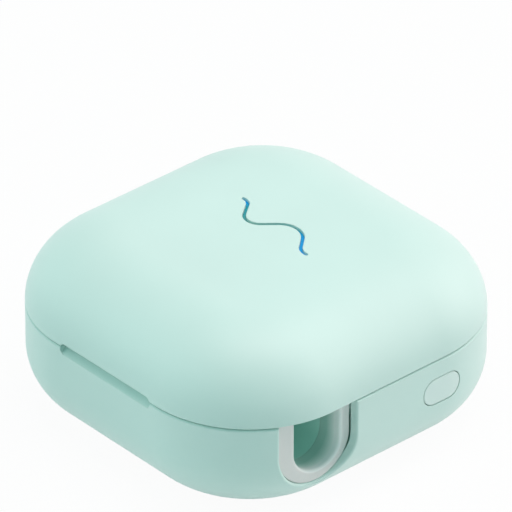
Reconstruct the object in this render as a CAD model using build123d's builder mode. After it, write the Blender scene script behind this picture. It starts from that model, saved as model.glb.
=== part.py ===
from build123d import *

import os

# Toothbrush sterilizer, in millimetres. The origin is the centre of the face that it stands on, +Z is up,
# the thumb notch faces -Y, the hinge is at +Y, and the slot for the brush neck is in the +X side.

# Case
width = 75.0
corner_radius = 23.25
total_height = 36.3
parting_height = 21.3
parting_gap = 0.3
lid_reach = 18.3
base_fillet = 12.3
wall = 1.8
edge_break = 0.25

# Soft pad under the base
pad_from_side = 13.5
pad_corner = 12.0
pad_thickness = 1.0
pad_proud = 0.3
pad_clearance = 0.15

# Thumb notch across the parting line
notch_length = 25.4
notch_height = 2.4
notch_low = 1.4
notch_rise = 1.1

# Slot for the brush neck, in the base and its soft liner
slot_from_front = 20.9
slot_width = 16.6
slot_bottom = 5.9
slot_rim = 0.4
neck_offset = 1.0
neck_width = 10.4
neck_bottom = 8.0
liner_face_from_side = 2.5
liner_face_offset = 2.6
liner_face_turn = 4.6
liner_depth = 8.0
liner_clearance = 0.15
liner_lip = 0.8

# Inner tray with its deck, and the brush cup under it
tray_gap = 0.4
tray_wall = 1.4
deck_drop = 7.7
tray_skirt = 2.8
rim_round = 1.2
chamber_from_left = 9.5
chamber_from_right = 15.5
chamber_from_front = 8.5
chamber_from_rear = 31.5
chamber_far_corner = 7.0
chamber_near_corner = 3.5
chamber_floor = 5.0
chamber_bottom_round = 3.2
neck_corner = 3.0
cup_clearance = 0.05

# UV windows, behind them the UV board with its two LEDs
window_length = 6.0
window_height = 4.0
window_drop = 6.6
window_from_left = 22.0
window_from_right = 11.0
window_recess = 0.3
window_flange = 0.8
window_flange_thickness = 0.6
window_clearance = 0.1
uv_board_gap = 2.2
uv_board_thickness = 1.0
uv_board_margin = 8.0
uv_board_drop = 2.2
uv_board_clearance = 0.3
uv_led_size = 3.5
uv_led_height = 1.5
uv_screw_margin = 2.4
uv_boss_radius = 1.5

# Hinge
hinge_from_rear = 1.5
barrel_radius = 1.5
pin_radius = 0.6
pin_clearance = 0.05
pin_length = 35.0
hinge_beyond_corner = 7.85
hinge_side_gap = 0.3
lid_knuckle_low = 3.2
lid_knuckle_from_corner = 1.55
hinge_opening = 0.4
lid_notch_height = 2.0
base_notch_depth = 2.6

# Panel inside the lid
panel_clearance = 0.8
panel_thickness = 1.2
panel_fit = 0.12
post_radius = 1.5
post_from_corner = 3.75

# Indicator light: a slot in the deck, a slot in the panel, and a wave in the lid's top
light_slot_from_left = 21.5
light_slot_from_right = 29.5
light_slot_from_rear = 24.7
light_slot_width = 1.1
guide_clearance = 0.05
guide_thickness = 1.2
guide_flange = 1.0
guide_margin = 1.5
slot_recess = 0.1
wave_width = 0.72
wave_depth = 0.55
wave_corners = ((-10.85, 6.5), (-9.4, 6.5), (-4.5, 0.1), (3.55, 9.4), (9.65, 2.35), (11.4, 2.35))
wave_radii = (2.2, 3.1, 4.5, 3.0)

# Power button, its switch and the travel they share
button_from_rear = 24.5
button_length = 9.1
button_height = 5.4
button_gap = 0.18
button_travel = 0.4
button_flange = 0.9
button_flange_from_side = 2.9
button_flange_thickness = 0.8
button_stem_radius = 1.4
switch_length = 3.6
switch_width = 4.6
switch_height = 3.5
plunger_reach = 1.2
plunger_width = 2.2
plunger_height = 1.4
plunger_depth = 1.6
plunger_clearance = 0.05
plunger_room = 0.3
touch_gap = 0.05

# Main board
board_low = 11.7
board_thickness = 1.2
board_from_left = 12.5
board_from_right = 8.0
board_from_rear = 8.0
board_from_chamber = 2.6
board_corner = 4.0
board_screw_from_side = 14.5
board_screw_front_margin = 1.8
board_screw_rear_margin = 2.5
board_boss_radius = 2.4
screw_radius = 0.9
screw_head_radius = 1.6
screw_head_height = 0.9
screw_clearance = 0.15
board_screw_length = 5.0

# Screws that hold the tray to the base from below
tray_screw_from_side = 17.0
tray_screw_from_rear = 20.5
tray_boss_radius = 3.0
tray_boss_low = 6.0
tray_boss_clearance = 0.4
tray_screw_radius = 1.0
tray_screw_head_radius = 1.9
tray_screw_head_height = 1.2
tray_screw_seat = 3.4
tray_screw_length = 8.0
sleeve_radius = 3.4

# Charging port at the back
usb_width = 8.94
usb_height = 3.26
usb_length = 7.3
usb_shell = 0.3
usb_clearance = 0.2
usb_setback = 1.3
tongue_width = 6.6
tongue_height = 0.7
tongue_length = 5.0
tongue_root = 1.0

# Battery
cell_width = 17.6
cell_height = 5.2
cell_round = 1.2
cell_clearance = 0.1
cell_from_rear = 19.5
foam_thickness = 0.8
foam_inset = 2.0
guard_thickness = 1.0
guard_width = 6.0
guard_from_edge = 4.0
lead_radius = 0.45
lead_pitch = 1.6
lead_bend = 1.2
socket_length = 4.0
socket_width = 4.4
socket_height = 2.4
socket_gap = 4.0

# Small parts on the main board
led_length = 2.0
led_width = 1.2
led_height = 0.7
led_to_guide = 0.3
controller_size = 5.0
controller_from_edge = 8.5
charger_length = 4.9
charger_width = 3.9
charger_from_edge = 9.0
charger_from_screw = 8.0
inductor_size = 4.0
inductor_from_edge = 3.5
chip_height = 1.1
capacitor_length = 1.6
capacitor_width = 0.8
capacitor_spacing = 3.0
capacitor_gap = 1.9
header_length = 8.0
header_width = 2.0
header_height = 2.6
hall_length = 2.9
hall_width = 1.5
sensor_from_left = 25.5
sensor_from_rear = 16.0

# Magnets
sensor_magnet_radius = 2.0
sensor_magnet_height = 1.5
catch_length = 10.0
catch_width = 1.2
catch_height = 3.0
catch_clearance = 0.44
lid_catch_width = 2.0
lid_catch_height = 1.0
lid_catch_inset = 1.0

# Hooks that hold the tray's front edge
hook_from_corner = 4.75
hook_width = 5.0
hook_reach = 3.4
hook_thickness = 1.0
hook_barb = 0.5
hook_clearance = 0.2
ledge_drop = 2.4
ledge_height = 1.0

# How far a cut runs past the face that it opens
cut_reach = 1.0

# Sizes that follow
half_width = width / 2
outside = half_width + cut_reach
above = total_height + cut_reach
corner_centre = half_width - corner_radius
base_bottom = pad_proud
base_top = parting_height - parting_gap / 2
lid_bottom = parting_height + parting_gap / 2
lid_height = total_height - parting_height
floor_z = base_bottom + wall
pad_size = width - 2 * pad_from_side

hinge_y = half_width - hinge_from_rear
hinge_z = parting_height
hinge_half = corner_centre + hinge_beyond_corner
lid_knuckle_high = corner_centre - lid_knuckle_from_corner

tray_inset = wall + tray_gap
deck_top = total_height - deck_drop
deck_bottom = deck_top - tray_wall
skirt_bottom = parting_height - tray_skirt
tray_rear = hinge_y - barrel_radius - hinge_opening
panel_low = deck_top + panel_clearance
panel_high = panel_low + panel_thickness
lid_ceiling = total_height - wall
post_offset = corner_centre + post_from_corner

slot_y = slot_from_front - half_width
slot_radius = slot_width / 2
neck_y = slot_y + neck_offset
neck_radius = neck_width / 2
neck_centre_z = neck_bottom + neck_radius
liner_inner_x = half_width - liner_depth

chamber_x_low = chamber_from_left - half_width
chamber_x_high = half_width - chamber_from_right
chamber_y_low = chamber_from_front - half_width
chamber_y_high = half_width - chamber_from_rear
chamber_rear = chamber_y_high + tray_wall

board_high = board_low + board_thickness
board_x_low = board_from_left - half_width
board_x_high = half_width - board_from_right
board_y_low = chamber_rear + board_from_chamber
board_y_high = half_width - board_from_rear
board_screw_x = half_width - board_screw_from_side
board_screw_y = (board_y_low + board_screw_front_margin, board_y_high - board_screw_rear_margin)
tray_screw_x = half_width - tray_screw_from_side
tray_screw_y = half_width - tray_screw_from_rear

window_x = (chamber_x_low + window_from_left, chamber_x_high - window_from_right)
window_z = deck_top - window_drop
uv_board_y = chamber_rear + uv_board_gap
uv_board_x = sum(window_x) / 2
uv_board_length = window_x[1] - window_x[0] + 2 * uv_board_margin
uv_board_low = board_high + uv_board_clearance
uv_board_high = deck_top - uv_board_drop
uv_screw_z = (uv_board_low + uv_screw_margin, uv_board_high - uv_screw_margin)
header_x = uv_board_x + (uv_board_length - header_length) / 2

light_slot_low = light_slot_from_left - half_width
light_slot_high = half_width - light_slot_from_right
light_slot_length = light_slot_high - light_slot_low
light_slot_x = (light_slot_low + light_slot_high) / 2
light_slot_y = half_width - light_slot_from_rear
led_spacing = light_slot_length / 3

button_y = half_width - button_from_rear
button_z = board_high + switch_height / 2
button_flange_x = half_width - button_flange_from_side
switch_face = board_x_high + plunger_clearance

cell_y = half_width - cell_from_rear
cell_length = 2 * (tray_screw_x - sleeve_radius - guard_thickness - cell_clearance)
cell_low = floor_z + foam_thickness
guard_y = cell_y - cell_width / 2 + guard_from_edge
sensor_x = sensor_from_left - half_width
sensor_y = half_width - sensor_from_rear

hook_x = corner_centre - hook_from_corner
ledge_z = skirt_bottom - ledge_drop


def block(x, y, z, mode=Mode.ADD):
    """Box between three (low, high) pairs, in the sub-part being built."""
    size = [high - low for low, high in (x, y, z)]
    with Locations(tuple((low + high) / 2 for low, high in (x, y, z))):
        Box(*size, mode=mode)


def post(x, y, low, high, radius, mode=Mode.ADD):
    """Upright cylinder, in the sub-part being built."""
    with Locations((x, y, low)):
        Cylinder(radius, high - low, align=(Align.CENTER, Align.CENTER, Align.MIN), mode=mode)


def cross_rod(y, z, x_low, x_high, radius, mode=Mode.ADD):
    """Cylinder along X, in the sub-part being built."""
    with Locations(((x_low + x_high) / 2, y, z)):
        Cylinder(radius, x_high - x_low, rotation=(0, 90, 0), mode=mode)


def depth_rod(x, z, y_low, y_high, radius, mode=Mode.ADD):
    """Cylinder along Y, in the sub-part being built."""
    with Locations((x, (y_low + y_high) / 2, z)):
        Cylinder(radius, y_high - y_low, rotation=(90, 0, 0), mode=mode)


def upright_pill(y, z, length, height, x_low, x_high):
    """Pill that lies along Y and is x_high - x_low thick."""
    with BuildPart() as pill:
        with BuildSketch(Plane.YZ.offset(x_low)):
            with Locations((y, z)):
                SlotOverall(length, height)
        extrude(amount=x_high - x_low)
    return pill.part


def facing_pill(x, z, length, height, y_low, y_high):
    """Pill that lies along X and is y_high - y_low thick."""
    with BuildPart() as pill:
        with BuildSketch(Plane.XZ.offset(-y_high)):
            with Locations((x, z)):
                SlotOverall(length, height)
        extrude(amount=y_high - y_low)
    return pill.part


def trough(y, bottom, radius, top, x_low, x_high):
    """Prism along X with a half-round bottom and upright sides."""
    with BuildPart() as form:
        with BuildSketch(Plane.YZ.offset(x_low)):
            with Locations((y, bottom + radius)):
                Circle(radius)
            with Locations((y, (bottom + radius + top) / 2)):
                Rectangle(2 * radius, top - bottom - radius)
        extrude(amount=x_high - x_low)
    return form.part


def outline_prism(inset, low, high):
    """The case's rounded square, moved inwards and raised."""
    with BuildPart() as prism:
        with BuildSketch(Plane.XY.offset(low)):
            RectangleRounded(width - 2 * inset, width - 2 * inset, corner_radius - inset)
        extrude(amount=high - low)
    return prism.part


def base_form(inset, top):
    """Everything within the base's outer surface moved inwards by inset."""
    low = base_bottom + inset
    with BuildPart() as form:
        add(outline_prism(inset, low, top))
        fillet(form.edges().group_by(Axis.Z)[0], radius=base_fillet - inset)
    return form.part


def lid_form(inset, low=0, high=None):
    """Everything within the lid's outer surface moved inwards by inset.

    Its section is a quarter of an ellipse over an upright wall, turned about each corner's centre and
    run along each side.
    """
    radius = corner_radius - inset
    reach = lid_reach - inset
    rise = lid_height - inset
    with BuildPart() as form:
        for quarter in range(4):
            turn = Rotation(0, 0, 90 * quarter)
            centre = (turn * Pos(corner_centre, corner_centre, 0)).position
            outwards = (turn * Pos(1, 0, 0)).position
            section_plane = Plane(centre, x_dir=outwards, z_dir=outwards.cross(Vector(0, 0, 1)))
            with BuildSketch(section_plane) as section:
                with BuildLine():
                    Polyline((0, parting_height + rise), (0, 0), (radius, 0), (radius, parting_height))
                    EllipticalCenterArc((radius - reach, parting_height), reach, rise, arc_size=90)
                    Line((radius - reach, parting_height + rise), (0, parting_height + rise))
                make_face()
            extrude(section.sketch, amount=2 * corner_centre)
            revolve(section.sketch, axis=Axis(centre, (0, 0, 1)), revolution_arc=90)
        side = (-corner_centre, corner_centre)
        block(side, side, (0, parting_height + rise))
        if low:
            split(bisect_by=Plane.XY.offset(low), keep=Keep.TOP)
        if high:
            split(bisect_by=Plane.XY.offset(high), keep=Keep.BOTTOM)
    return form.part


def hinge_leaf(spans, web_y, web_z, bounds):
    """Knuckles over the spans along X, each with a web to its shell, trimmed to the case and bored."""
    bore_end = pin_length / 2 + hinge_side_gap
    with BuildPart() as leaf:
        for span in spans:
            cross_rod(hinge_y, hinge_z, *span, barrel_radius)
            block(span, web_y, web_z)
        add(bounds, mode=Mode.INTERSECT)
        cross_rod(hinge_y, hinge_z, -bore_end, bore_end, pin_radius + pin_clearance, Mode.SUBTRACT)
    return leaf.part


def thumb_notch(depth):
    """The pill-shaped notch that a thumb lifts the lid by."""
    notch_z = parting_height - notch_low + notch_height / 2
    return facing_pill(0, notch_z, notch_length, notch_height, -outside, -half_width + depth)


def thumb_ramp():
    """The notch's cut into the base, whose floor climbs inwards through the wall."""
    floor = Plane(
        origin=(0, -half_width, parting_height - notch_low),
        x_dir=(1, 0, 0),
        z_dir=(0, -notch_rise, wall),
    )
    with BuildPart() as ramp:
        add(thumb_notch(wall + tray_gap / 2))
        split(bisect_by=floor, keep=Keep.TOP)
    return ramp.part


def light_slot(low, high, clearance=0.0):
    """The straight slot that light rises through, in the deck and in the lid's panel."""
    with BuildPart() as form:
        with BuildSketch(Plane.XY.offset(low)):
            with Locations((light_slot_x, light_slot_y)):
                SlotOverall(light_slot_length - 2 * clearance, light_slot_width - 2 * clearance)
        extrude(amount=high - low)
    return form.part


def wave(low, high, clearance=0.0):
    """The wave of the light window: one ribbon along straight runs joined by arcs, with round ends."""
    with BuildPart() as form:
        with BuildSketch(Plane.XY.offset(low)):
            with BuildLine():
                FilletPolyline(*wave_corners, radius=wave_radii)
                offset(amount=wave_width / 2 - clearance, side=Side.BOTH)
            make_face()
        extrude(amount=high - low)
    return form.part


def chamber_plan(grow):
    """The brush chamber's outline seen from above, grown by a wall. Its corners by the slot are tighter."""
    length = chamber_x_high - chamber_x_low
    depth = chamber_y_high - chamber_y_low
    with BuildSketch() as plan:
        with Locations(((chamber_x_low + chamber_x_high) / 2, (chamber_y_low + chamber_y_high) / 2)):
            Rectangle(length + 2 * grow, depth + 2 * grow)
        fillet(plan.vertices().group_by(Axis.X)[0], radius=chamber_far_corner + grow)
        fillet(plan.vertices().group_by(Axis.X)[-1], radius=chamber_near_corner + grow)
    return plan.sketch


def make_base_shell():
    """Lower shell: wall, slot, notch, button and port openings, hinge knuckles, bosses and ledges."""
    lid_span_low = lid_knuckle_low - hinge_side_gap
    lid_span_high = lid_knuckle_high + hinge_side_gap
    spans = ((-hinge_half, -lid_span_high), (-lid_span_low, lid_span_low), (lid_span_high, hinge_half))
    web_z = (hinge_z - base_notch_depth - wall, hinge_z)
    web_y = (hinge_y - barrel_radius, hinge_y + barrel_radius / 2)
    knuckles = hinge_leaf(spans, web_y, web_z, outline_prism(0, 0, above))
    notch_x = (-hinge_half - hinge_side_gap, hinge_half + hinge_side_gap)
    port_z = board_high + usb_height / 2
    with BuildPart() as base_shell:
        add(base_form(0, base_top))
        chamfer(base_shell.edges().group_by(Axis.Z)[-1], length=edge_break)
        add(trough(slot_y, slot_bottom, slot_radius, above, liner_inner_x, outside), mode=Mode.SUBTRACT)
        rim = []
        for edge in base_shell.edges(Select.LAST):
            middle = edge.position_at(1 / 2)
            if middle.X > liner_inner_x + wall and middle.Z < base_top - edge_break:
                rim.append(edge)
        fillet(rim, radius=slot_rim)
        add(base_form(wall, above), mode=Mode.SUBTRACT)
        pad_room = pad_size + 2 * pad_clearance
        with BuildSketch(Plane.XY.offset(base_bottom)):
            RectangleRounded(pad_room, pad_room, pad_corner + pad_clearance)
        extrude(amount=pad_thickness - pad_proud, mode=Mode.SUBTRACT)
        for x in (-tray_screw_x, tray_screw_x):
            post(x, tray_screw_y, floor_z - wall / 2, tray_boss_low - touch_gap, sleeve_radius)
            post(x, tray_screw_y, 0, tray_screw_seat, tray_screw_head_radius + screw_clearance, Mode.SUBTRACT)
            post(x, tray_screw_y, 0, tray_boss_low, tray_screw_radius + screw_clearance, Mode.SUBTRACT)
        pilot_low = board_high - board_screw_length - screw_clearance
        for x in (-board_screw_x, board_screw_x):
            for y in board_screw_y:
                post(x, y, floor_z - wall / 2, board_low, board_boss_radius)
                post(x, y, pilot_low, board_low, screw_radius, Mode.SUBTRACT)
        ledge_y = (-half_width + wall / 2, -half_width + wall + tray_gap + hook_barb / 2)
        for x in (-hook_x, hook_x):
            block((x - hook_width / 2, x + hook_width / 2), ledge_y, (ledge_z, ledge_z + ledge_height))
        add(base_form(0, base_top), mode=Mode.INTERSECT)
        add(thumb_ramp(), mode=Mode.SUBTRACT)
        hole_length = button_length + 2 * button_gap
        hole_height = button_height + 2 * button_gap
        add(
            upright_pill(button_y, button_z, hole_length, hole_height, button_flange_x, outside),
            mode=Mode.SUBTRACT,
        )
        port_width = usb_width + 2 * usb_clearance
        port_height = usb_height + 2 * usb_clearance
        add(
            facing_pill(0, port_z, port_width, port_height, half_width - 2 * wall, outside),
            mode=Mode.SUBTRACT,
        )
        block(notch_x, (tray_rear, outside), (hinge_z - base_notch_depth, above), Mode.SUBTRACT)
        add(knuckles)
    return base_shell.part


def make_base_pad():
    """Soft pad let into the underside, over the tray screws. The case stands on it."""
    with BuildPart() as base_pad:
        with BuildSketch():
            RectangleRounded(pad_size, pad_size, pad_corner)
        extrude(amount=pad_thickness)
        fillet(base_pad.edges().group_by(Axis.Z)[0], radius=edge_break)
    return base_pad.part


def cup_outside(clearance):
    """The brush cup's outer form with its neck channel, up to the deck's underside."""
    low = chamber_floor - tray_wall - clearance
    with BuildPart() as form:
        with BuildSketch(Plane.XY.offset(low)):
            add(chamber_plan(tray_wall + clearance))
        extrude(amount=deck_bottom - low)
        fillet(form.edges().group_by(Axis.Z)[0], radius=chamber_bottom_round + tray_wall)
        neck_low = neck_bottom - tray_wall - clearance
        neck_outer = neck_radius + tray_wall + clearance
        add(trough(neck_y, neck_low, neck_outer, deck_bottom, 0, liner_inner_x + clearance))
    return form.part


def brush_room():
    """The room for the brush, as cuts: its chamber, the neck passage above and the trough below."""
    with BuildPart() as chamber:
        with BuildSketch(Plane.XY.offset(chamber_floor)):
            add(chamber_plan(0))
        extrude(amount=above - chamber_floor)
        fillet(chamber.edges().group_by(Axis.Z)[0], radius=chamber_bottom_round)
    side_depth = chamber_y_high - chamber_y_low - 2 * chamber_near_corner
    side_middle = (chamber_x_high - chamber_near_corner / 2, (chamber_y_low + chamber_y_high) / 2)
    with BuildPart() as passage:
        with BuildSketch(Plane.XY.offset(neck_centre_z)) as plan:
            with Locations(side_middle):
                Rectangle(chamber_near_corner, side_depth)
            with Locations((chamber_x_high, neck_y)):
                Rectangle(half_width, neck_width, align=(Align.MIN, Align.CENTER))
            fillet(plan.vertices().group_by(Axis.X)[-2].sort_by(Axis.Y)[1:3], radius=neck_corner)
        extrude(amount=above - neck_centre_z)
    channel = trough(neck_y, neck_bottom, neck_radius, above, chamber_x_high - neck_corner, outside)
    return (chamber.part, passage.part, channel)


def liner_room():
    """The room for the slot's soft liner, as a cut."""
    radius = slot_radius + liner_clearance
    return trough(slot_y, slot_bottom - liner_clearance, radius, base_top, liner_inner_x, outside)


def make_inner_tray():
    """Tray with a flat deck, a round-edged rim, screw bosses and hooks, open above the brush cup."""
    rear_x = hinge_half + 2 * hinge_side_gap
    hollow_x = rear_x + tray_wall
    with BuildPart() as hollow:
        add(lid_form(tray_inset + tray_wall, skirt_bottom - cut_reach, deck_bottom))
        block((-hollow_x, hollow_x), (tray_rear - tray_wall, half_width), (0, above), Mode.SUBTRACT)
    with BuildPart() as inner_tray:
        add(lid_form(tray_inset, skirt_bottom, deck_top))
        fillet(inner_tray.edges().group_by(Axis.Z)[-1], radius=rim_round)
        block((-rear_x, rear_x), (tray_rear, half_width), (0, above), Mode.SUBTRACT)
        add(hollow.part, mode=Mode.SUBTRACT)
        add(cup_outside(cup_clearance), mode=Mode.SUBTRACT)
        pilot_top = tray_screw_seat + tray_screw_length + screw_clearance
        for x in (-tray_screw_x, tray_screw_x):
            post(x, tray_screw_y, tray_boss_low, deck_bottom + tray_wall / 2, tray_boss_radius)
            post(x, tray_screw_y, 0, pilot_top, tray_screw_radius, Mode.SUBTRACT)
        barb_y = -half_width + tray_inset
        arm_y = barb_y + hook_barb
        hook_low = ledge_z - hook_reach
        for x in (-hook_x, hook_x):
            span = (x - hook_width / 2, x + hook_width / 2)
            block(span, (arm_y, arm_y + hook_thickness), (hook_low, skirt_bottom + tray_wall / 2))
            block(span, (barb_y, arm_y), (hook_low, ledge_z - hook_clearance))
        for cut in (*brush_room(), liner_room()):
            add(cut, mode=Mode.SUBTRACT)
        add(light_slot(deck_bottom - cut_reach, deck_top + cut_reach), mode=Mode.SUBTRACT)
    return inner_tray.part


def make_brush_cup():
    """Deep cup under the deck for the brush head, with an open neck channel and bosses behind."""
    window_y = (chamber_y_high - cut_reach, chamber_rear + cut_reach)
    boss_y = (chamber_rear - tray_wall / 2, uv_board_y)
    pilot_y = (chamber_rear - tray_wall / 2, uv_board_y + cut_reach)
    with BuildPart() as brush_cup:
        add(cup_outside(0))
        for z in uv_screw_z:
            depth_rod(uv_board_x, z, *boss_y, uv_boss_radius)
            depth_rod(uv_board_x, z, *pilot_y, screw_radius / 2, Mode.SUBTRACT)
        for cut in (*brush_room(), liner_room()):
            add(cut, mode=Mode.SUBTRACT)
        for x in window_x:
            add(facing_pill(x, window_z, window_length, window_height, *window_y), mode=Mode.SUBTRACT)
    return brush_cup.part


def make_slot_liner():
    """Soft grey liner of the neck slot, with a rounded lip and a face turned a little towards the corner."""
    radius = slot_radius - liner_clearance
    low = slot_bottom + liner_clearance
    top = base_top - liner_clearance
    face_plane = Plane(
        Vector(half_width - liner_face_from_side, slot_y + liner_face_offset, 0),
        z_dir=Vector(1, 0, 0).rotate(Axis.Z, -liner_face_turn),
    )
    with BuildPart() as slot_liner:
        add(trough(slot_y, low, radius, top, liner_inner_x + touch_gap, half_width))
        neck_start = liner_inner_x - cut_reach
        add(trough(neck_y, neck_bottom, neck_radius, above, neck_start, outside), mode=Mode.SUBTRACT)
        split(bisect_by=face_plane, keep=Keep.BOTTOM)
        lip = []
        for edge in slot_liner.faces().sort_by(Axis.X)[-1].edges():
            middle = edge.center()
            beside_neck = abs(middle.Y - neck_y) < neck_radius + liner_clearance
            if beside_neck and neck_bottom - liner_clearance < middle.Z < top - liner_clearance:
                lip.append(edge)
        fillet(lip, radius=liner_lip)
    return slot_liner.part


def make_uv_windows():
    """Two clear windows in the chamber's rear wall, each with a flange behind the wall."""
    front = chamber_y_high + window_recess
    back = chamber_rear + window_flange_thickness
    with BuildPart() as uv_windows:
        for x in window_x:
            length = window_length - 2 * window_clearance
            height = window_height - 2 * window_clearance
            add(facing_pill(x, window_z, length, height, front, back))
            length = window_length + 2 * window_flange
            height = window_height + 2 * window_flange
            add(facing_pill(x, window_z, length, height, chamber_rear, back))
    return uv_windows.part


def make_uv_board():
    """Upright board behind the chamber."""
    half = uv_board_length / 2
    with BuildPart() as uv_board:
        block(
            (uv_board_x - half, uv_board_x + half),
            (uv_board_y, uv_board_y + uv_board_thickness),
            (uv_board_low, uv_board_high),
        )
        back = uv_board_y + uv_board_thickness
        hole_radius = screw_radius + screw_clearance
        for z in uv_screw_z:
            depth_rod(uv_board_x, z, uv_board_y, back, hole_radius, Mode.SUBTRACT)
    return uv_board.part


def make_uv_leds():
    """Two UV LEDs on the upright board, each with a low dome."""
    half = uv_led_size / 2
    base = uv_led_height / 2
    with BuildPart() as uv_leds:
        for x in window_x:
            block((x - half, x + half), (uv_board_y - base, uv_board_y), (window_z - half, window_z + half))
            depth_rod(x, window_z, uv_board_y - uv_led_height, uv_board_y - base, half - edge_break)
    return uv_leds.part


def make_uv_board_screws():
    """Two screws through the upright board into the chamber's bosses."""
    back = uv_board_y + uv_board_thickness
    with BuildPart() as uv_board_screws:
        for z in uv_screw_z:
            depth_rod(uv_board_x, z, chamber_rear, back, screw_radius / 2)
            depth_rod(uv_board_x, z, back, back + screw_head_height, screw_head_radius)
    return uv_board_screws.part


def make_main_board():
    """Level board on four bosses, with holes round the tray's two long bosses."""
    with BuildPart() as main_board:
        with BuildSketch(Plane.XY.offset(board_low)):
            with Locations(((board_x_low + board_x_high) / 2, (board_y_low + board_y_high) / 2)):
                RectangleRounded(board_x_high - board_x_low, board_y_high - board_y_low, board_corner)
            with Locations((-tray_screw_x, tray_screw_y), (tray_screw_x, tray_screw_y)):
                Circle(tray_boss_radius + tray_boss_clearance, mode=Mode.SUBTRACT)
            with Locations(*[(x, y) for x in (-board_screw_x, board_screw_x) for y in board_screw_y]):
                Circle(screw_radius + screw_clearance, mode=Mode.SUBTRACT)
        extrude(amount=board_thickness)
    return main_board.part


def make_board_screws():
    """Four screws that hold the main board to its bosses."""
    with BuildPart() as board_screws:
        for x in (-board_screw_x, board_screw_x):
            for y in board_screw_y:
                post(x, y, board_high - board_screw_length, board_high, screw_radius)
                post(x, y, board_high, board_high + screw_head_height, screw_head_radius)
    return board_screws.part


def make_tray_screws():
    """Two screws from below, through the base's sleeves into the tray's bosses."""
    with BuildPart() as tray_screws:
        for x in (-tray_screw_x, tray_screw_x):
            head_low = tray_screw_seat - tray_screw_head_height
            post(x, tray_screw_y, head_low, tray_screw_seat, tray_screw_head_radius)
            post(x, tray_screw_y, tray_screw_seat, tray_screw_seat + tray_screw_length, tray_screw_radius)
    return tray_screws.part


def make_board_chips():
    """Controller, charging chip, coil and capacitors on the main board."""
    controller_y = board_y_high - controller_from_edge
    charger_x = tray_screw_x - charger_from_screw
    chips = (
        (0, controller_y, controller_size, controller_size),
        (charger_x, board_y_high - charger_from_edge, charger_length, charger_width),
        (charger_x, board_y_high - inductor_from_edge, inductor_size, inductor_size),
    )
    capacitor_y = controller_y - controller_size / 2 - capacitor_gap
    with BuildPart() as board_chips:
        for x, y, length, depth in chips:
            block(
                (x - length / 2, x + length / 2),
                (y - depth / 2, y + depth / 2),
                (board_high, board_high + chip_height),
            )
        for step in (-1, 0, 1):
            x = step * capacitor_spacing
            block(
                (x, x + capacitor_length),
                (capacitor_y, capacitor_y + capacitor_width),
                (board_high, board_high + capacitor_width),
            )
    return board_chips.part


def make_link_header():
    """Header that carries the upright board's current down to the main board."""
    back = uv_board_y + uv_board_thickness
    with BuildPart() as link_header:
        block(
            (header_x - header_length / 2, header_x + header_length / 2),
            (back, back + header_width),
            (board_high, board_high + header_height),
        )
    return link_header.part


def make_indicator_leds():
    """Three small LEDs under the deck's light guide."""
    with BuildPart() as indicator_leds:
        for step in (-1, 0, 1):
            x = light_slot_x + step * led_spacing
            block(
                (x - led_length / 2, x + led_length / 2),
                (light_slot_y - led_width / 2, light_slot_y + led_width / 2),
                (board_high, board_high + led_height),
            )
    return indicator_leds.part


def make_hall_sensor():
    """Sensor that tells when the lid's magnet is above it."""
    with BuildPart() as hall_sensor:
        block(
            (sensor_x - hall_length / 2, sensor_x + hall_length / 2),
            (sensor_y - hall_width / 2, sensor_y + hall_width / 2),
            (board_high, board_high + chip_height),
        )
    return hall_sensor.part


def make_usb_port():
    """Metal shell of the charging port, open at the back of the case."""
    mouth = half_width - usb_setback
    z = board_high + usb_height / 2
    inner_width = usb_width - 2 * usb_shell
    inner_height = usb_height - 2 * usb_shell
    with BuildPart() as usb_port:
        add(facing_pill(0, z, usb_width, usb_height, mouth - usb_length, mouth))
        add(
            facing_pill(0, z, inner_width, inner_height, mouth - usb_length + usb_shell, outside),
            mode=Mode.SUBTRACT,
        )
    return usb_port.part


def make_usb_tongue():
    """Contact tongue inside the charging port."""
    mouth = half_width - usb_setback
    back = mouth - usb_length + usb_shell
    z = board_high + usb_height / 2
    half_height = usb_height / 2 - usb_shell - touch_gap
    with BuildPart() as usb_tongue:
        block(
            (-tongue_width / 2, tongue_width / 2),
            (back, back + tongue_root),
            (z - half_height, z + half_height),
        )
        block(
            (-tongue_width / 2, tongue_width / 2),
            (back, back + tongue_root + tongue_length),
            (z - tongue_height / 2, z + tongue_height / 2),
        )
    return usb_tongue.part


def make_battery_pad():
    """Foam pad that the cell is stuck to."""
    with BuildPart() as battery_pad:
        half_length = cell_length / 2 - foam_inset
        half_depth = cell_width / 2 - foam_inset
        block(
            (-half_length, half_length),
            (cell_y - half_depth, cell_y + half_depth),
            (floor_z, cell_low),
        )
    return battery_pad.part


def make_battery_cell():
    """Flat pouch cell."""
    with BuildPart() as battery_cell:
        block(
            (-cell_length / 2, cell_length / 2),
            (cell_y - cell_width / 2, cell_y + cell_width / 2),
            (cell_low, cell_low + cell_height),
        )
        fillet(battery_cell.edges().filter_by(Axis.X), radius=cell_round)
    return battery_cell.part


def make_battery_guard():
    """Protection board on the cell's end."""
    low = cell_low + cell_round / 2
    end = -cell_length / 2
    with BuildPart() as battery_guard:
        block(
            (end - guard_thickness, end),
            (guard_y - guard_width / 2, guard_y + guard_width / 2),
            (low, low + cell_height - cell_round),
        )
    return battery_guard.part


def make_battery_socket():
    """Socket under the main board that the cell's leads end in."""
    x = -cell_length / 2 + socket_gap
    with BuildPart() as battery_socket:
        block(
            (x, x + socket_length),
            (guard_y - socket_width / 2, guard_y + socket_width / 2),
            (board_low - socket_height, board_low),
        )
    return battery_socket.part


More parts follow.
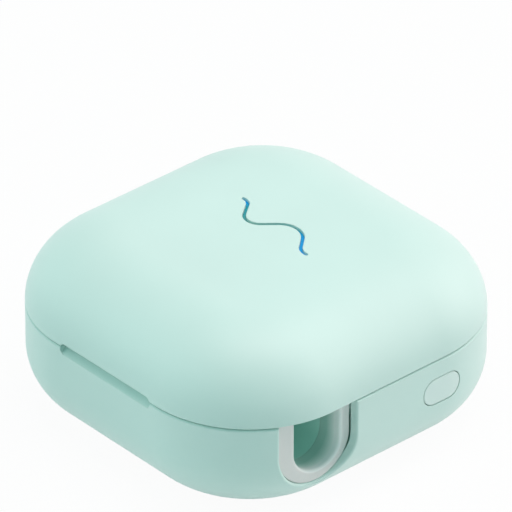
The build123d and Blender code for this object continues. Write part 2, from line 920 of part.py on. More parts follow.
def make_battery_leads():
    """Two short leads from the protection board up and over into the socket."""
    x = -cell_length / 2 - guard_thickness / 2
    socket_x = -cell_length / 2 + socket_gap
    low = cell_low + cell_height - cell_round / 2
    high = board_low - socket_height / 2
    with BuildPart() as battery_leads:
        for y in (guard_y - lead_pitch / 2, guard_y + lead_pitch / 2):
            with BuildLine() as route:
                FilletPolyline((x, y, low), (x, y, high), (socket_x, y, high), radius=lead_bend)
            with BuildSketch(Plane((x, y, low))):
                Circle(lead_radius)
            sweep(path=route.line)
    return battery_leads.part


def make_deck_light_guide():
    """Clear blade that carries the LEDs' light up to the deck, with a flange under the deck."""
    blade_low = board_high + led_height + led_to_guide
    flange_half = light_slot_width / 2 + guide_flange
    with BuildPart() as deck_light_guide:
        add(light_slot(blade_low, deck_top - slot_recess, guide_clearance))
        block(
            (light_slot_low - guide_flange, light_slot_high + guide_flange),
            (light_slot_y - flange_half, light_slot_y + flange_half),
            (deck_bottom - guide_thickness, deck_bottom),
        )
    return deck_light_guide.part


def make_tray_magnet():
    """Bar magnet inside the tray's front rim, as high as the deck and the rim's curve leave room."""
    y = chamber_y_low - tray_wall
    rim_inset = tray_inset + tray_wall
    offset = lid_reach - chamber_from_front + tray_wall + catch_width + catch_clearance
    share = offset / (lid_reach - rim_inset)
    curve_top = parting_height + (lid_height - rim_inset) * (1 - share**2) ** 0.5
    top = min(curve_top, deck_bottom - touch_gap)
    with BuildPart() as tray_magnet:
        block((-catch_length / 2, catch_length / 2), (y - catch_width, y), (top - catch_height, top))
    return tray_magnet.part


def make_switch_body():
    """Push switch on the main board's edge, open for its plunger."""
    opening_width = plunger_width + 2 * plunger_clearance
    opening_height = plunger_height + 2 * plunger_clearance
    with BuildPart() as switch_body:
        block(
            (switch_face - switch_length, switch_face),
            (button_y - switch_width / 2, button_y + switch_width / 2),
            (board_high, board_high + switch_height),
        )
        block(
            (switch_face - plunger_depth - button_travel - plunger_room, switch_face + cut_reach),
            (button_y - opening_width / 2, button_y + opening_width / 2),
            (button_z - opening_height / 2, button_z + opening_height / 2),
            Mode.SUBTRACT,
        )
    return switch_body.part


def make_switch_plunger():
    """The switch's plunger, which the button pushes in."""
    with BuildPart() as switch_plunger:
        block(
            (switch_face - plunger_depth, switch_face + plunger_reach),
            (button_y - plunger_width / 2, button_y + plunger_width / 2),
            (button_z - plunger_height / 2, button_z + plunger_height / 2),
        )
    return switch_plunger.part


def make_power_button():
    """Flush pill button with a flange behind the wall and a stem to the switch."""
    stem_end = switch_face + plunger_reach + touch_gap
    flange_length = button_length + 2 * button_flange
    flange_height = button_height + 2 * button_flange
    flange_back = button_flange_x - button_flange_thickness
    with BuildPart() as power_button:
        add(upright_pill(button_y, button_z, button_length, button_height, flange_back, outside))
        add(base_form(0, base_top), mode=Mode.INTERSECT)
        fillet(power_button.faces().sort_by(Axis.X)[-1].edges(), radius=edge_break / 2)
        add(upright_pill(button_y, button_z, flange_length, flange_height, flange_back, button_flange_x))
        cross_rod(button_y, button_z, stem_end, flange_back, button_stem_radius)
    return power_button.part


def make_hinge_pin():
    """Pin through all five knuckles."""
    with BuildPart() as hinge_pin:
        cross_rod(hinge_y, hinge_z, -pin_length / 2, pin_length / 2, pin_radius)
    return hinge_pin.part


def make_lid_shell():
    """Upper shell: rolled pebble form, thumb notch, wave opening, two hinge knuckles and panel posts."""
    spans = ((-lid_knuckle_high, -lid_knuckle_low), (lid_knuckle_low, lid_knuckle_high))
    web_y = (hinge_y - barrel_radius, half_width)
    web_z = (hinge_z, hinge_z + lid_notch_height + wall / 2)
    knuckles = hinge_leaf(spans, web_y, web_z, lid_form(0))
    notch_x = (-hinge_half - hinge_side_gap, hinge_half + hinge_side_gap)
    with BuildPart() as lid_shell:
        add(lid_form(0, lid_bottom))
        fillet(lid_shell.edges().group_by(Axis.Z)[0], radius=edge_break)
        add(lid_form(wall), mode=Mode.SUBTRACT)
        add(thumb_notch(wall + tray_gap / 2), mode=Mode.SUBTRACT)
        block(notch_x, (tray_rear, outside), (0, hinge_z + lid_notch_height), Mode.SUBTRACT)
        add(knuckles)
        for x in (-post_offset, post_offset):
            for y in (-post_offset, post_offset):
                post(x, y, panel_high, lid_ceiling + wall / 2, post_radius)
        add(wave(lid_ceiling - cut_reach, above), mode=Mode.SUBTRACT)
    return lid_shell.part


def make_lid_liner():
    """Flat panel inside the lid, with a slot above the deck's light slot."""
    with BuildPart() as lid_liner:
        add(lid_form(wall + panel_fit, panel_low, panel_high))
        add(light_slot(panel_low - cut_reach, panel_high + cut_reach), mode=Mode.SUBTRACT)
    return lid_liner.part


def make_lid_light_guide():
    """Clear guide in the lid: a blade from the panel's slot, a plate, and the wave in the lid's top."""
    plate_low = lid_ceiling - guide_thickness
    wave_x = [x for x, y in wave_corners]
    wave_y = [y for x, y in wave_corners]
    with BuildPart() as lid_light_guide:
        add(light_slot(panel_low + slot_recess, lid_ceiling, guide_clearance))
        block(
            (min(light_slot_low, *wave_x) - guide_margin, max(light_slot_high, *wave_x) + guide_margin),
            (min(wave_y), light_slot_y + guide_margin),
            (plate_low, lid_ceiling),
        )
        add(wave(plate_low, total_height - wave_depth, guide_clearance))
    return lid_light_guide.part


def make_lid_magnet():
    """Round magnet on the panel, above the hall sensor."""
    with BuildPart() as lid_magnet:
        post(sensor_x, sensor_y, panel_high, panel_high + sensor_magnet_height, sensor_magnet_radius)
    return lid_magnet.part


def make_lid_catch_magnet():
    """Bar magnet on the panel's front edge, which the tray's magnet pulls on."""
    y = chamber_y_low + lid_catch_inset
    with BuildPart() as lid_catch_magnet:
        block(
            (-catch_length / 2, catch_length / 2),
            (y, y + lid_catch_width),
            (panel_high, panel_high + lid_catch_height),
        )
    return lid_catch_magnet.part


makers = {
    "base_shell": make_base_shell,
    "base_pad": make_base_pad,
    "inner_tray": make_inner_tray,
    "brush_cup": make_brush_cup,
    "slot_liner": make_slot_liner,
    "uv_windows": make_uv_windows,
    "uv_board": make_uv_board,
    "uv_leds": make_uv_leds,
    "uv_board_screws": make_uv_board_screws,
    "main_board": make_main_board,
    "board_screws": make_board_screws,
    "tray_screws": make_tray_screws,
    "board_chips": make_board_chips,
    "link_header": make_link_header,
    "indicator_leds": make_indicator_leds,
    "hall_sensor": make_hall_sensor,
    "usb_port": make_usb_port,
    "usb_tongue": make_usb_tongue,
    "battery_pad": make_battery_pad,
    "battery_cell": make_battery_cell,
    "battery_guard": make_battery_guard,
    "battery_socket": make_battery_socket,
    "battery_leads": make_battery_leads,
    "deck_light_guide": make_deck_light_guide,
    "tray_magnet": make_tray_magnet,
    "switch_body": make_switch_body,
    "switch_plunger": make_switch_plunger,
    "power_button": make_power_button,
    "hinge_pin": make_hinge_pin,
    "lid_shell": make_lid_shell,
    "lid_liner": make_lid_liner,
    "lid_light_guide": make_lid_light_guide,
    "lid_magnet": make_lid_magnet,
    "lid_catch_magnet": make_lid_catch_magnet,
}

os.makedirs("parts", exist_ok=True)
for name, make in makers.items():
    piece = make()
    piece.label = name
    export_step(piece, f"parts/{name}.step")
    print(name, round(piece.volume, 1), len(piece.solids()))
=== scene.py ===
import math

import bpy
from mathutils import Matrix, Vector


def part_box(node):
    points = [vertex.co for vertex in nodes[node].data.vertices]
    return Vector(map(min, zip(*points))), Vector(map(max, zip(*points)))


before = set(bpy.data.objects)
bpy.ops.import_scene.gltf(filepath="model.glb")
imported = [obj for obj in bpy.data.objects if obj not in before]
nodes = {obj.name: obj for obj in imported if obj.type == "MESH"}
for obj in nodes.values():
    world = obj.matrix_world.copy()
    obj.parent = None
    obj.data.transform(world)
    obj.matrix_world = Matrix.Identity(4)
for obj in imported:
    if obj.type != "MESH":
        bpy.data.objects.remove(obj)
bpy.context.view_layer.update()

# Camera, from the photograph's outline: the angles in degrees, the distances in metres, the lens in
# millimetres
camera_azimuth = 48.4279
camera_elevation = 32.8227
camera_distance = 1.6204
camera_rise = 0.02642
camera_lens = 603.4

# Lamps: azimuth and elevation in degrees as seen from the object, width and height in metres,
# power in watts and colour. The lamps are warm and the sky is cool, which gives the shade its rich mint
lamp_distance = 1.0
key_light = (1.2, 1.0, 1.0)
fill_light = (0.88, 1.0, 0.98)
sky_light = (0.33, 1.0, 0.98)
white = (1.0, 1.0, 1.0, 1.0)
lamps = {
    "softbox_right": (150, 26, 0.95, 0.95, 4.4, key_light),
    "softbox_left": (318, 28, 1.3, 1.3, 3.4, fill_light),
    "softbox_top": (150, 83, 0.5, 0.9, 4.7, key_light),
}
sky_strength = 0.27
floor_size = 3.0
floor_glow = 0.95

# Colours as sRGB bytes
mint = (214, 240, 233)
button_mint = (226, 244, 239)
tray_mint = (204, 236, 227)
cup_mint = (192, 232, 221)
# Painted light: the brush cup's faint glow, which lightens the shade in its room
cup_painted_light = (38, 60, 56)
liner_grey = (232, 226, 225)
# Liner: a painted highlight for its rounded lip, and a painted shade for deeper in the slot
liner_painted_highlight = (254, 252, 251)
liner_painted_shade = (168, 206, 196)
wave_blue = (0, 150, 214)
wave_teal = (0, 146, 160)
# Painted shade for the middle of the light window
wave_painted_shade = (84, 150, 142)
# Painted shade of the dark room seen through the deck's clear light guide
guide_teal = (128, 178, 167)
guide_pale = (120, 172, 160)
window_dark = (24, 84, 74)
pad_mint = (184, 212, 205)
mask_green = (22, 92, 66)
trace_green = (46, 132, 92)
solder_grey = (196, 198, 194)
epoxy_black = (30, 31, 33)
switch_black = (36, 37, 40)
plunger_white = (214, 210, 200)
ceramic_cream = (240, 232, 206)
phosphor_yellow = (232, 204, 96)
steel_grey = (176, 178, 180)
port_grey = (198, 200, 203)
nickel_grey = (188, 187, 184)
foil_grey = (190, 192, 195)
foam_black = (38, 38, 40)
lead_red = (176, 22, 22)
lead_black = (28, 28, 30)
# Painted shade for the cross recess in the screw heads
contact_gold = (214, 168, 78)
recess_painted_shade = (46, 47, 50)
floor_pale = (238, 240, 240)

# Finish: rounding of edges, scales of the patterns per metre, depth of the relief in metres, and how far
# a plastic's roughness wanders
edge_rounding = 0.0003
edge_samples = 6
flow_scale = 28.0
gloss_scale = 90.0
gloss_spread = 0.03
grain_scale = 5200.0
grain_depth = 0.00003
fine_depth = 0.00002
trace_depth = 0.00004
recess_depth = 0.00005
pebble_depth = 0.00006
pore_depth = 0.0002
crease_depth = 0.0003

# Lid's light guide, in metres: its plain foot, and the lit part under the window. Then how much it glows
guide_plain = 0.0015
wave_depth = 0.0025
wave_glow = 0.16

# Slot's liner: X of the normals where its flange begins and where it is full, and how much it glows as
# painted light
flange_begins = 0.75
flange_full = 0.95
liner_painted_glow = 0.06

# Boards: pitch and width of the traces in metres, the zones of the noise where the traces run one way and
# the other, and the reach of a tinned hole in its cell
trace_pitch = 0.0007
trace_width = 0.00028
trace_zone_scale = 130.0
row_zone = 0.54
column_zone = 0.45
hole_scale = 330.0
hole_reach = 0.14

# Charging port's tongue, chips and LEDs, in metres: pitch and width of the contacts, depth of the row of
# ceramic parts, and half of the width of the phosphor
contact_pitch = 0.0005
contact_width = 0.00028
ceramic_row = 0.0015
indicator_phosphor = 0.0003
uv_phosphor = 0.0007

# Screws: width and reach of the cross recess in metres, and the least turn of a face towards the head's
# side that is still the head
recess_width = 0.00042
recess_reach = 0.0016
head_turn = 0.8

# Screws by node: head radius in metres, the axis that they lie along, the side that their heads are on,
# and the two axes across
screws = {
    "tray_screws": (0.0019, "Z", -1, "X", "Y"),
    "board_screws": (0.0016, "Z", 1, "X", "Y"),
    "uv_board_screws": (0.0016, "Y", 1, "X", "Z"),
}


def linear(colour):
    """sRGB bytes as the linear colour that a shader takes."""
    made = []
    for value in colour:
        share = value / 255
        made.append(share / 12.92 if share <= 0.04045 else ((share + 0.055) / 1.055) ** 2.4)
    return (*made, 1.0)


def shade(colour, factor):
    """A colour made lighter or darker by a factor, kept within range."""
    return tuple(min(255, max(0, value * factor)) for value in colour)


def towards(azimuth, elevation):
    """Unit vector at an azimuth, where 0 is -Y and 90 is +X, and an elevation, in degrees."""
    azimuth = math.radians(azimuth)
    elevation = math.radians(elevation)
    return Vector(
        (
            math.sin(azimuth) * math.cos(elevation),
            -math.cos(azimuth) * math.cos(elevation),
            math.sin(elevation),
        )
    )


def middle(name, axis):
    """Middle of a node's box on an axis."""
    low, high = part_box(name)
    return (low[axis] + high[axis]) / 2


class Tree:
    """A node tree of a material or the world, with short calls for nodes and links."""

    def __init__(self, owner):
        owner.use_nodes = True
        self.owner = owner
        self.tree = owner.node_tree
        self.tree.nodes.clear()

    def node(self, kind, inputs=None, **settings):
        """A new node, with its settings, and its inputs as values or as sockets to link."""
        made = self.tree.nodes.new(kind)
        for key, value in settings.items():
            setattr(made, key, value)
        for key, value in (inputs or {}).items():
            if isinstance(value, bpy.types.NodeSocket):
                self.tree.links.new(value, made.inputs[key])
            else:
                made.inputs[key].default_value = value
        return made

    def place(self, scale=(1, 1, 1)):
        """Object coordinates, scaled."""
        coordinates = self.node("ShaderNodeTexCoord")
        inputs = {"Vector": coordinates.outputs["Object"], "Scale": scale}
        return self.node("ShaderNodeMapping", inputs).outputs["Vector"]

    def axis(self, name, space="Object"):
        """One object coordinate, or one of the object's normal where the space is Normal."""
        coordinates = self.node("ShaderNodeTexCoord").outputs[space]
        return self.node("ShaderNodeSeparateXYZ", {"Vector": coordinates}).outputs[name]

    def noise(self, vector, scale, detail=3.0, roughness=0.5):
        inputs = {"Vector": vector, "Scale": scale, "Detail": detail, "Roughness": roughness}
        return self.node("ShaderNodeTexNoise", inputs).outputs["Fac"]

    def cells(self, vector, scale):
        inputs = {"Vector": vector, "Scale": scale}
        return self.node("ShaderNodeTexVoronoi", inputs).outputs["Distance"]

    def maths(self, operation, *values):
        return self.node("ShaderNodeMath", dict(enumerate(values)), operation=operation).outputs[0]

    def all_of(self, mask, *others):
        """1 where all masks are 1."""
        for other in others:
            mask = self.maths("MULTIPLY", mask, other)
        return mask

    def away(self, axis, centre):
        """Distance from a place on an axis."""
        return self.maths("ABSOLUTE", self.maths("SUBTRACT", self.axis(axis), centre))

    def stripes(self, axis, pitch, width):
        """1 on stripes that follow each other along an axis."""
        from_stripe = self.maths("PINGPONG", self.axis(axis), pitch / 2)
        return self.maths("LESS_THAN", from_stripe, width / 2)

    def span(self, value, low, high, start=0.0, end=1.0):
        """A value that goes from low to high as the given one goes from start to end."""
        inputs = {"Value": value, "From Min": start, "From Max": end, "To Min": low, "To Max": high}
        return self.node("ShaderNodeMapRange", inputs).outputs["Result"]

    def uneven(self, place, scale, low, high):
        """A value that wanders between low and high."""
        return self.span(self.noise(place, scale), low, high)

    def ramp(self, factor, stops):
        """Colours along a factor, from stops of a position and an sRGB colour."""
        made = self.node("ShaderNodeValToRGB", {"Fac": factor})
        elements = made.color_ramp.elements
        while len(elements) < len(stops):
            elements.new(0.5)
        for element, (position, colour) in zip(elements, stops):
            element.position = position
            element.color = linear(colour)
        return made.outputs["Color"]

    def mottle(self, pattern, colour, dark, light, start=0.3, end=0.7):
        """A colour that goes from a darker to a lighter shade along a pattern."""
        return self.ramp(pattern, [(start, shade(colour, dark)), (end, shade(colour, light))])

    def mix(self, share, first, second):
        inputs = {0: share, 6: first, 7: second}
        return self.node("ShaderNodeMix", inputs, data_type="RGBA").outputs[2]

    def dim(self, colour, value):
        """A colour made lighter or darker by a value."""
        inputs = {"Color": colour, "Value": value}
        return self.node("ShaderNodeHueSaturation", inputs).outputs["Color"]

    def bump(self, height, strength, depth, rounding=0.0):
        """A bumped normal, over edges that are rounded a little."""
        inputs = {"Height": height, "Strength": strength, "Distance": depth}
        if rounding:
            edges = self.node("ShaderNodeBevel", {"Radius": rounding}, samples=edge_samples)
            inputs["Normal"] = edges.outputs[0]
        return self.node("ShaderNodeBump", inputs).outputs["Normal"]

    def surface(self, **inputs):
        """The principled shader, with an underscore for each space in a socket's name."""
        named = {key.replace("_", " "): value for key, value in inputs.items()}
        shader = self.node("ShaderNodeBsdfPrincipled", named)
        self.node("ShaderNodeOutputMaterial", {"Surface": shader.outputs[0]})
        return self.owner


def new_tree(name):
    return Tree(bpy.data.materials.new(name))


def moulded(name, colour, roughness=0.42, grain=0.08, coat=0.0, sheen=0.0, painted_glow=(0, 0, 0)):
    """Moulded plastic: spark-eroded grain, flow marks, uneven gloss, soft edges, and any painted glow
    given.
    """
    t = new_tree(name)
    place = t.place()
    flow = t.noise(place, flow_scale, detail=2.0)
    sparks = t.noise(place, grain_scale, detail=2.0)
    return t.surface(
        Base_Color=t.mottle(flow, colour, dark=0.985, light=1.012),
        Roughness=t.uneven(place, gloss_scale, roughness - gloss_spread, roughness + gloss_spread),
        IOR=1.46,
        Coat_Weight=coat,
        Coat_Roughness=0.5,
        Sheen_Weight=sheen,
        Sheen_Roughness=0.5,
        # A painted glow, where one is given, lightens the shade of the part
        Emission_Color=linear(painted_glow),
        Emission_Strength=1.0 if any(painted_glow) else 0.0,
        Normal=t.bump(sparks, grain, grain_depth, edge_rounding),
    )


def liner_silicone():
    """Grey silicone, with a painted highlight on the rounded lip and painted mint shade further in, which
    glows faintly as painted light.
    """
    t = new_tree("liner_silicone")
    place = t.place()
    low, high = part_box("slot_liner")
    outward = t.span(t.axis("X"), 0.0, 1.0, low[0], high[0])
    stops = [(0.0, liner_painted_shade), (0.3, liner_painted_shade), (0.7, liner_painted_highlight), (1.0, liner_painted_highlight)]
    flange = t.span(t.axis("X", "Normal"), 0.0, 1.0, flange_begins, flange_full)
    # Painted highlight towards the lip and painted shade further in, but the flange keeps its own grey
    tint_with_painted_light = t.mix(flange, t.ramp(outward, stops), linear(liner_grey))
    speckle = t.span(t.noise(place, 900.0, detail=4.0), low=0.98, high=1.02)
    return t.surface(
        Base_Color=t.dim(tint_with_painted_light, speckle),
        Roughness=t.uneven(place, 300.0, low=0.42, high=0.52),
        IOR=1.43,
        Sheen_Weight=0.2,
        Sheen_Roughness=0.4,
        # A faint painted glow in the colour of the painted shade
        Emission_Color=linear(liner_painted_shade),
        Emission_Strength=liner_painted_glow,
        Normal=t.bump(t.noise(place, 3600.0), 0.12, grain_depth, edge_rounding),
    )


def wave_light():
    """Light window of the lid: clear plastic, lit blue at its ends and teal between, with painted shade
    in the middle, but plain below.
    """
    t = new_tree("wave_light")
    place = t.place()
    low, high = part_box("lid_light_guide")
    along = t.span(t.axis("X"), 0.0, 1.0, low[0], high[0])
    # The grey stop in the middle is painted shade
    stops = [
        (0.255, wave_blue),
        (0.29, wave_teal),
        (0.45, wave_painted_shade),
        (0.68, wave_teal),
        (0.78, wave_blue),
    ]
    near_top = t.span(t.axis("Z"), 0.0, 1.0, low[2] + guide_plain, high[2] - wave_depth)
    lit = t.mix(near_top, linear(guide_pale), t.ramp(along, stops))
    return t.surface(
        Base_Color=lit,
        Roughness=t.uneven(place, 400.0, low=0.22, high=0.3),
        IOR=1.49,
        Specular_IOR_Level=0.2,
        Emission_Color=lit,
        Emission_Strength=wave_glow,
        Normal=t.bump(t.noise(place, 1500.0, detail=2.0), 0.05, grain_depth),
    )


def clear_guide():
    """Light guide of the deck, unlit: clear plastic, painted dark teal as the shade of the room below it.
    """
    t = new_tree("clear_guide")
    place = t.place()
    return t.surface(
        Base_Color=t.mottle(t.noise(place, 160.0), guide_teal, dark=0.92, light=1.06),
        Roughness=t.uneven(place, 500.0, low=0.16, high=0.26),
        IOR=1.49,
        Normal=t.bump(t.noise(place, 1800.0, detail=2.0), 0.04, grain_depth),
    )


def window_glass():
    """Dark UV windows, smooth and faintly wavy."""
    t = new_tree("window_glass")
    place = t.place()
    return t.surface(
        Base_Color=t.mottle(t.noise(place, 120.0), window_dark, dark=0.85, light=1.1),
        Roughness=t.uneven(place, 260.0, low=0.05, high=0.1),
        IOR=1.52,
        Transmission_Weight=0.45,
        Normal=t.bump(t.noise(place, 300.0, detail=1.0), 0.06, grain_depth),
    )


def pad_rubber():
    """Soft pad under the base: matte rubber with a fine pebble."""
    t = new_tree("pad_rubber")
    place = t.place()
    return t.surface(
        Base_Color=t.mottle(t.noise(place, 200.0, detail=4.0), pad_mint, dark=0.98, light=1.01),
        Roughness=t.uneven(place, 700.0, low=0.68, high=0.82),
        Sheen_Weight=0.1,
        Normal=t.bump(t.cells(place, 1100.0), 0.35, pebble_depth, edge_rounding),
    )


def solder_mask(name, across, along):
    """Circuit board in the plane of two axes: green lacquer over traces, with tinned holes."""
    t = new_tree(name)
    place = t.place()
    zone = t.noise(place, trace_zone_scale, detail=1.0)
    rows = t.stripes(across, trace_pitch, trace_width)
    columns = t.stripes(along, trace_pitch, trace_width)
    first = t.all_of(rows, t.maths("GREATER_THAN", zone, row_zone))
    second = t.all_of(columns, t.maths("LESS_THAN", zone, column_zone))
    trace = t.maths("MAXIMUM", first, second)
    hole = t.maths("LESS_THAN", t.cells(place, hole_scale), hole_reach)
    lacquer = t.mix(trace, linear(mask_green), linear(trace_green))
    return t.surface(
        Base_Color=t.mix(hole, lacquer, linear(solder_grey)),
        Metallic=t.maths("MULTIPLY", hole, 0.9),
        Roughness=t.uneven(place, 500.0, low=0.3, high=0.42),
        Normal=t.bump(t.maths("ADD", trace, hole), 0.3, trace_depth),
    )


def chip_epoxy(edge):
    """Black moulded chips, and ceramic parts in the row that lies below an edge along Y."""
    t = new_tree("chip_epoxy")
    place = t.place()
    pattern = t.noise(place, 2600.0, detail=2.0)
    black = t.mottle(pattern, epoxy_black, dark=0.85, light=1.25, start=0.35, end=0.65)
    row = t.maths("LESS_THAN", t.axis("Y"), edge)
    return t.surface(
        Base_Color=t.mix(row, black, linear(ceramic_cream)),
        Roughness=t.uneven(place, 900.0, low=0.45, high=0.6),
        Normal=t.bump(t.noise(place, 4200.0, detail=2.0), 0.2, fine_depth),
    )


def tongue_contacts():
    """Black tongue of the charging port, with a row of gold contacts on both of its flat sides."""
    t = new_tree("tongue_contacts")
    place = t.place()
    half_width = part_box("usb_tongue")[1][0]
    strips = t.stripes("X", contact_pitch, contact_width)
    inside = t.maths("LESS_THAN", t.away("X", 0.0), half_width - contact_pitch)
    outer = t.maths("GREATER_THAN", t.axis("Y"), middle("usb_tongue", 1))
    gold = t.all_of(strips, inside, outer)
    pattern = t.noise(place, 2600.0)
    black = t.mottle(pattern, epoxy_black, dark=0.9, light=1.2, start=0.35, end=0.65)
    return t.surface(
        Base_Color=t.mix(gold, black, linear(contact_gold)),
        Metallic=gold,
        Roughness=t.uneven(place, 900.0, low=0.28, high=0.42),
        Normal=t.bump(gold, 0.2, fine_depth),
    )


def led_ceramic(name, axis, centre, half):
    """LED body: cream ceramic, with phosphor in a band about a centre on an axis."""
    t = new_tree(name)
    place = t.place()
    patch = t.maths("LESS_THAN", t.away(axis, centre), half)
    body = t.mottle(t.noise(place, 1200.0), ceramic_cream, dark=0.94, light=1.02)
    return t.surface(
        Base_Color=t.mix(patch, body, linear(phosphor_yellow)),
        Roughness=t.uneven(place, 900.0, low=0.22, high=0.35),
        Coat_Weight=0.4,
        Coat_Roughness=0.1,
        Normal=t.bump(t.noise(place, 2400.0), 0.05, fine_depth),
    )


def bare_metal(name, colour, roughness, stretch, grain=0.12):
    """Metal with fine lines along the axes where the stretch is small."""
    t = new_tree(name)
    lines = t.noise(t.place(stretch), 2600.0, roughness=0.6)
    return t.surface(
        Base_Color=t.mottle(lines, colour, dark=0.93, light=1.04),
        Metallic=1.0,
        Roughness=t.span(lines, roughness - 0.05, roughness + 0.08),
        Normal=t.bump(lines, grain, fine_depth, edge_rounding / 2),
    )


def screw_offset(t, name, axis, head_radius):
    """Distance along an axis from the middle of the nearest screw of a pair."""
    low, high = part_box(name)
    index = "XYZ".index(axis)
    apart = (high[index] - low[index]) / 2 - head_radius
    away = t.away(axis, middle(name, index))
    return t.maths("ABSOLUTE", t.maths("SUBTRACT", away, apart))


def screw_steel(name, head_radius, along, side, *across):
    """Turned steel, with the cross recess in the head of each screw painted dark as shade."""
    t = new_tree(name.replace("screws", "screw_steel"))
    first, second = (screw_offset(t, name, axis, head_radius) for axis in across)
    narrow = t.maths("LESS_THAN", t.maths("MINIMUM", first, second), recess_width / 2)
    short = t.maths("LESS_THAN", t.maths("MAXIMUM", first, second), recess_reach / 2)
    turn = t.maths("MULTIPLY", t.axis(along, "Normal"), side)
    recess = t.all_of(narrow, short, t.maths("GREATER_THAN", turn, head_turn))
    worn = t.noise(t.place(), 1800.0, roughness=0.6)
    steel = t.mottle(worn, steel_grey, dark=0.93, light=1.04)
    return t.surface(
        # The recess is painted dark, as shade in it
        Base_Color=t.mix(recess, steel, linear(recess_painted_shade)),
        Metallic=t.maths("SUBTRACT", 1.0, t.maths("MULTIPLY", recess, 0.8)),
        Roughness=t.span(worn, low=0.25, high=0.38),
        Normal=t.bump(t.maths("SUBTRACT", worn, recess), 0.3, recess_depth, edge_rounding / 2),
    )


def pouch_foil():
    """Battery pouch: satin laminated foil with soft creases."""
    t = new_tree("pouch_foil")
    crease = t.noise(t.place(), 130.0, detail=4.0, roughness=0.6)
    return t.surface(
        Base_Color=t.mottle(crease, foil_grey, dark=0.9, light=1.05),
        Metallic=0.85,
        Roughness=t.span(crease, low=0.28, high=0.42),
        Normal=t.bump(crease, 0.5, crease_depth),
    )


def cell_foam():
    """Black foam with open pores, painted darker in the pores as shade."""
    t = new_tree("cell_foam")
    pores = t.cells(t.place(), 1500.0)
    return t.surface(
        # Painted shade: darker at the middle of each pore
        Base_Color=t.mottle(pores, foam_black, dark=0.5, light=1.3, start=0.0, end=0.6),
        Roughness=t.span(pores, low=0.85, high=0.98),
        Sheen_Weight=0.15,
        Normal=t.bump(pores, 0.6, pore_depth),
    )


def lead_sleeve():
    """The two battery leads: the front one black, the rear one red."""
    t = new_tree("lead_sleeve")
    place = t.place()
    rear = t.maths("GREATER_THAN", t.axis("Y"), middle("battery_leads", 1))
    colour = t.mix(rear, linear(lead_black), linear(lead_red))
    return t.surface(
        Base_Color=t.dim(colour, t.uneven(place, 700.0, low=0.92, high=1.06)),
        Roughness=t.uneven(place, 500.0, low=0.38, high=0.5),
        Normal=t.bump(t.noise(place, 1800.0), 0.1, grain_depth),
    )


def paint(material, *names):
    """Gives nodes a material in place of their own."""
    for name in names:
        slots = nodes[name].data.materials
        slots.clear()
        slots.append(material)


def paint_case():
    """The pieces that show from outside or with the lid open."""
    case = moulded("case_plastic_mint", mint, 0.6, 0.06, coat=0.8, sheen=0.25)
    tray = moulded("tray_plastic_mint", tray_mint, 0.38, 0.08, coat=0.3, sheen=0.1)
    button = moulded("button_plastic_mint", button_mint, 0.42, 0.06, coat=0.6, sheen=0.2)
    # The cup gets a painted glow that lightens its shade
    cup = moulded("cup_plastic_mint", cup_mint, 0.3, 0.05, painted_glow=cup_painted_light)
    paint(case, "base_shell", "lid_shell")
    paint(button, "power_button")
    paint(tray, "inner_tray", "lid_liner")
    paint(cup, "brush_cup")
    paint(liner_silicone(), "slot_liner")
    paint(wave_light(), "lid_light_guide")
    paint(clear_guide(), "deck_light_guide")
    paint(window_glass(), "uv_windows")
    paint(pad_rubber(), "base_pad")
    paint(bare_metal("port_steel", port_grey, 0.2, (1, 0.08, 1), 0.06), "usb_port")
    paint(tongue_contacts(), "usb_tongue")


def paint_inside():
    """The boards and all that is closed in with them."""
    indicator_centre = middle("indicator_leds", 1)
    uv_centre = middle("uv_leds", 2)
    ceramic_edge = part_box("board_chips")[0][1] + ceramic_row
    nickel = bare_metal("magnet_nickel", nickel_grey, 0.22, (0.5, 0.5, 0.5), 0.05)
    paint(solder_mask("board_level", "X", "Y"), "main_board")
    paint(solder_mask("board_upright", "X", "Z"), "uv_board")
    paint(solder_mask("board_guard", "Y", "Z"), "battery_guard")
    paint(chip_epoxy(ceramic_edge), "board_chips")
    paint(led_ceramic("indicator_ceramic", "Y", indicator_centre, indicator_phosphor), "indicator_leds")
    paint(led_ceramic("uv_ceramic", "Z", uv_centre, uv_phosphor), "uv_leds")
    paint(moulded("sensor_epoxy", epoxy_black, 0.5, 0.3), "hall_sensor")
    paint(moulded("header_nylon", epoxy_black, 0.4, 0.15), "link_header")
    paint(moulded("socket_nylon", ceramic_cream, 0.4, 0.15), "battery_socket")
    paint(moulded("switch_nylon", switch_black, 0.45, 0.2), "switch_body")
    paint(moulded("plunger_nylon", plunger_white, 0.4, 0.15), "switch_plunger")
    paint(bare_metal("pin_steel", steel_grey, 0.26, (0.05, 1, 1)), "hinge_pin")
    paint(nickel, "lid_magnet", "lid_catch_magnet", "tray_magnet")
    paint(pouch_foil(), "battery_cell")
    paint(cell_foam(), "battery_pad")
    paint(lead_sleeve(), "battery_leads")
    for name, form in screws.items():
        paint(screw_steel(name, *form), name)


def add_camera():
    """The camera at the photograph's angle."""
    back = towards(camera_azimuth, camera_elevation)
    azimuth = math.radians(camera_azimuth)
    right = Vector((math.cos(azimuth), math.sin(azimuth), 0))
    up = back.cross(right)
    data = bpy.data.cameras.new("camera")
    data.lens = camera_lens
    camera = bpy.data.objects.new("camera", data)
    turn = Matrix((right, up, back)).transposed().to_4x4()
    camera.matrix_world = Matrix.Translation(back * camera_distance + up * camera_rise) @ turn
    bpy.context.scene.collection.objects.link(camera)
    bpy.context.scene.camera = camera


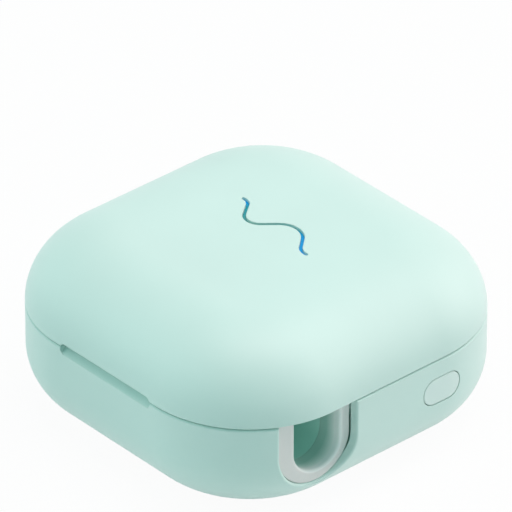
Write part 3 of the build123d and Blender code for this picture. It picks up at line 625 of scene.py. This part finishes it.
def add_lamp(name, azimuth, elevation, width, height, power, colour):
    """A soft lamp that looks at the object."""
    away = towards(azimuth, elevation)
    data = bpy.data.lights.new(name, "AREA")
    data.shape = "ELLIPSE"
    data.size = width
    data.size_y = height
    data.energy = power
    data.color = colour
    lamp = bpy.data.objects.new(name, data)
    lamp.location = away * lamp_distance
    lamp.rotation_euler = (-away).to_track_quat("-Z", "Y").to_euler()
    bpy.context.scene.collection.objects.link(lamp)


def seen_directly(t):
    """1 for the rays that show the background: from the camera, off gloss and through glass."""
    light = t.node("ShaderNodeLightPath")
    either = t.maths("MAXIMUM", light.outputs["Is Camera Ray"], light.outputs["Is Glossy Ray"])
    return t.maths("MAXIMUM", either, light.outputs["Is Transmission Ray"])


def add_floor():
    """A pale floor that glows towards the camera enough to be as white as the background."""
    corners = [(-1, -1), (1, -1), (1, 1), (-1, 1)]
    mesh = bpy.data.meshes.new("floor")
    mesh.from_pydata([(x * floor_size, y * floor_size, 0) for x, y in corners], [], [(0, 1, 2, 3)])
    floor = bpy.data.objects.new("floor", mesh)
    bpy.context.scene.collection.objects.link(floor)
    t = new_tree("floor_pale")
    matt = t.node("ShaderNodeBsdfDiffuse", {"Color": linear(floor_pale)})
    lit = t.node("ShaderNodeEmission", {"Color": white, "Strength": 1.0})
    share = t.maths("MULTIPLY", seen_directly(t), floor_glow)
    mixed = t.node("ShaderNodeMixShader", {"Fac": share, 1: matt.outputs[0], 2: lit.outputs[0]})
    t.node("ShaderNodeOutputMaterial", {"Surface": mixed.outputs[0]})
    mesh.materials.append(t.owner)


def add_world():
    """A cool sky that lights the part, and a white background where it is seen."""
    world = bpy.data.worlds.new("world")
    t = Tree(world)
    shown = seen_directly(t)
    colour = t.mix(shown, (*sky_light, 1.0), white)
    strength = t.span(shown, sky_strength, 1.0)
    sky = t.node("ShaderNodeBackground", {"Color": colour, "Strength": strength})
    t.node("ShaderNodeOutputWorld", {"Surface": sky.outputs[0]})
    bpy.context.scene.world = world


paint_case()
paint_inside()
add_camera()
add_floor()
add_world()
for lamp_name, settings in lamps.items():
    add_lamp(lamp_name, *settings)
bpy.context.scene.view_settings.view_transform = "Standard"
